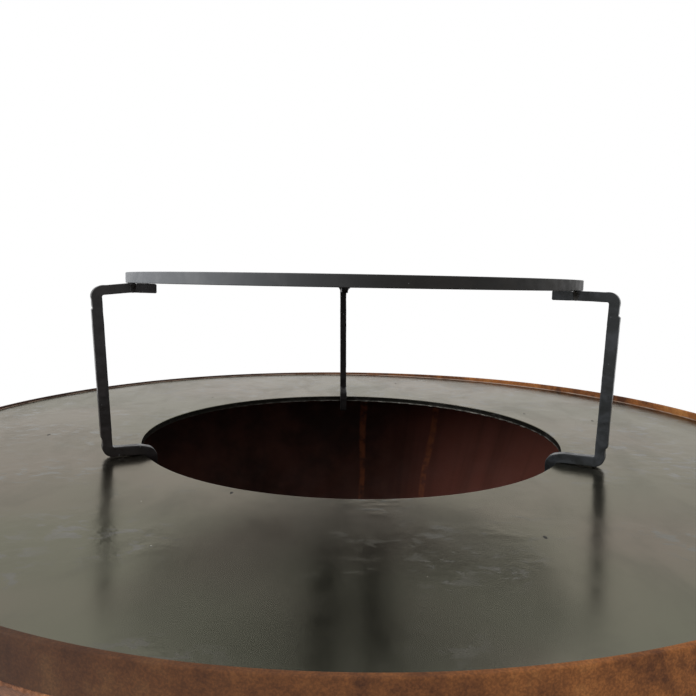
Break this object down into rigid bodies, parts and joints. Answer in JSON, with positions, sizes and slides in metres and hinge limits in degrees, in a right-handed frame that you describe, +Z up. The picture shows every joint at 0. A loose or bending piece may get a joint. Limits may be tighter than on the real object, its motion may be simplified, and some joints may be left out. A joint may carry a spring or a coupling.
{
  "type": "fire bowl grill",
  "caption": "Conical steel fire bowl on a round pedestal, with a flat ring-shaped cooking plate and a raised round grate on bent legs that hook into the fire hole.",
  "frame": {"origin": "on the ground, under the middle of the bowl", "axes": "+Z up along the pedestal, -Y is the front, between the two front legs of the grate stand, and +X is to the right"},
  "size_m": [1.014, 1.014, 1.1425],
  "materials": {
    "plate_steel": "oiled, satin, dark",
    "weathering_steel": "rusted, matte",
    "forged_steel": "mill scale, dark satin",
    "zinc": "dull zinc plate"
  },
  "bodies": {
    "fire_bowl": {"lip_band": "weathering_steel", "bowl_cone": "weathering_steel", "bowl_floor": "weathering_steel", "plate_seat_1": "weathering_steel", "plate_seat_2": "weathering_steel", "plate_seat_3": "weathering_steel", "plate_seat_4": "weathering_steel", "pedestal_flange": "weathering_steel", "pedestal_shell": "weathering_steel", "pedestal_base": "weathering_steel", "base_pad_1": "forged_steel", "base_pad_2": "forged_steel", "base_pad_3": "forged_steel", "base_pad_4": "forged_steel", "floor_bolts": "zinc", "floor_washers": "zinc", "floor_nuts": "zinc"},
    "cooking_plate": {"cooking_plate": "plate_steel"},
    "grate_stand": {"grate_hoop": "forged_steel", "long_strip_left": "forged_steel", "long_strip_right": "forged_steel", "side_strip_left": "forged_steel", "side_strip_right": "forged_steel", "grate_ring_01": "forged_steel", "grate_ring_02": "forged_steel", "grate_ring_03": "forged_steel", "grate_ring_04": "forged_steel", "grate_ring_05": "forged_steel", "grate_ring_06": "forged_steel", "grate_ring_07": "forged_steel", "grate_ring_08": "forged_steel", "grate_ring_09": "forged_steel", "grate_ring_10": "forged_steel", "grate_ring_11": "forged_steel", "grate_ring_12": "forged_steel", "leg_left": "forged_steel", "leg_right": "forged_steel", "leg_back": "forged_steel", "leg_welds": "forged_steel"}
  },
  "joints": [
    {"name": "plate_lift", "type": "slide", "parent": "fire_bowl", "child": "cooking_plate", "axis": [0, 0, 1], "range_m": [0, 0.3]},
    {"name": "grate_turn", "type": "hinge", "parent": "cooking_plate", "child": "grate_stand", "pos_m": [0, 0, 0.95], "axis": [0, 0, 1], "continuous": true}
  ]
}
